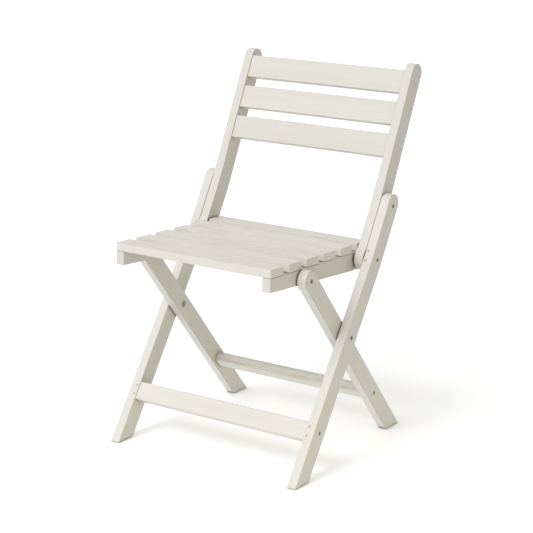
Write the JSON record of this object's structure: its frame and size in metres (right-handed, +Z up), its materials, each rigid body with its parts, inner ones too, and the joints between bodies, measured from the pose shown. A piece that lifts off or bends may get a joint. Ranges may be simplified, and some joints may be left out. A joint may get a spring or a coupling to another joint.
{
  "type": "folding chair",
  "caption": "Folding chair with crossing legs, a slatted seat hinged to the rear legs and a slatted back; it folds flat on side pivots.",
  "frame": {"origin": "on the floor, centred between the sides and between the front edge of the seat and the top of the back", "axes": "+Z up, +Y to the back of the chair, +X to the side called right in the node names"},
  "size_m": [0.47, 0.5299, 0.7837],
  "materials": {
    "painted_wood": "satin off-white paint",
    "pin_wood": "satin off-white paint, slightly darker end grain",
    "zinc_steel": "zinc-plated",
    "steel_rod": "drawn steel"
  },
  "bodies": {
    "front_frame": {"back_slat_1": "painted_wood", "back_slat_2": "painted_wood", "back_slat_3": "painted_wood", "front_stretcher": "painted_wood", "left_back_upright": "painted_wood", "left_front_leg": "painted_wood", "leg_pivot_bolts": "zinc_steel", "leg_pivot_nuts": "zinc_steel", "rest_rod_pins": "pin_wood", "rest_rod_screws": "zinc_steel", "right_back_upright": "painted_wood", "right_front_leg": "painted_wood", "seat_rest_rod": "steel_rod", "stretcher_pins": "pin_wood", "stretcher_screws": "zinc_steel", "upright_screws": "zinc_steel"},
    "rear_frame": {"right_rear_leg": "painted_wood", "left_rear_leg": "painted_wood", "rear_rung": "painted_wood", "rung_screws": "zinc_steel", "seat_pivot_bolts": "zinc_steel", "seat_pivot_nuts": "zinc_steel", "leg_washers": "zinc_steel"},
    "seat": {"seat_slat_1": "painted_wood", "seat_slat_2": "painted_wood", "seat_slat_3": "painted_wood", "seat_slat_4": "painted_wood", "seat_slat_5": "painted_wood", "seat_slat_6": "painted_wood", "right_seat_rail": "painted_wood", "left_seat_rail": "painted_wood", "slat_screws": "zinc_steel", "seat_washers": "zinc_steel"}
  },
  "joints": [
    {"name": "leg_fold", "type": "hinge", "parent": "front_frame", "child": "rear_frame", "pos_m": [0, -0.0394, 0.262], "axis": [-1, 0, 0], "range_deg": [0, 58]},
    {"name": "seat_fold", "type": "hinge", "parent": "rear_frame", "child": "seat", "pos_m": [0, -0.15563, 0.40503], "axis": [1, 0, 0], "range_deg": [0, 132.34]}
  ],
  "couplings": [
    {"joint": "seat_fold", "follows": "leg_fold", "ratio": 2.28}
  ]
}
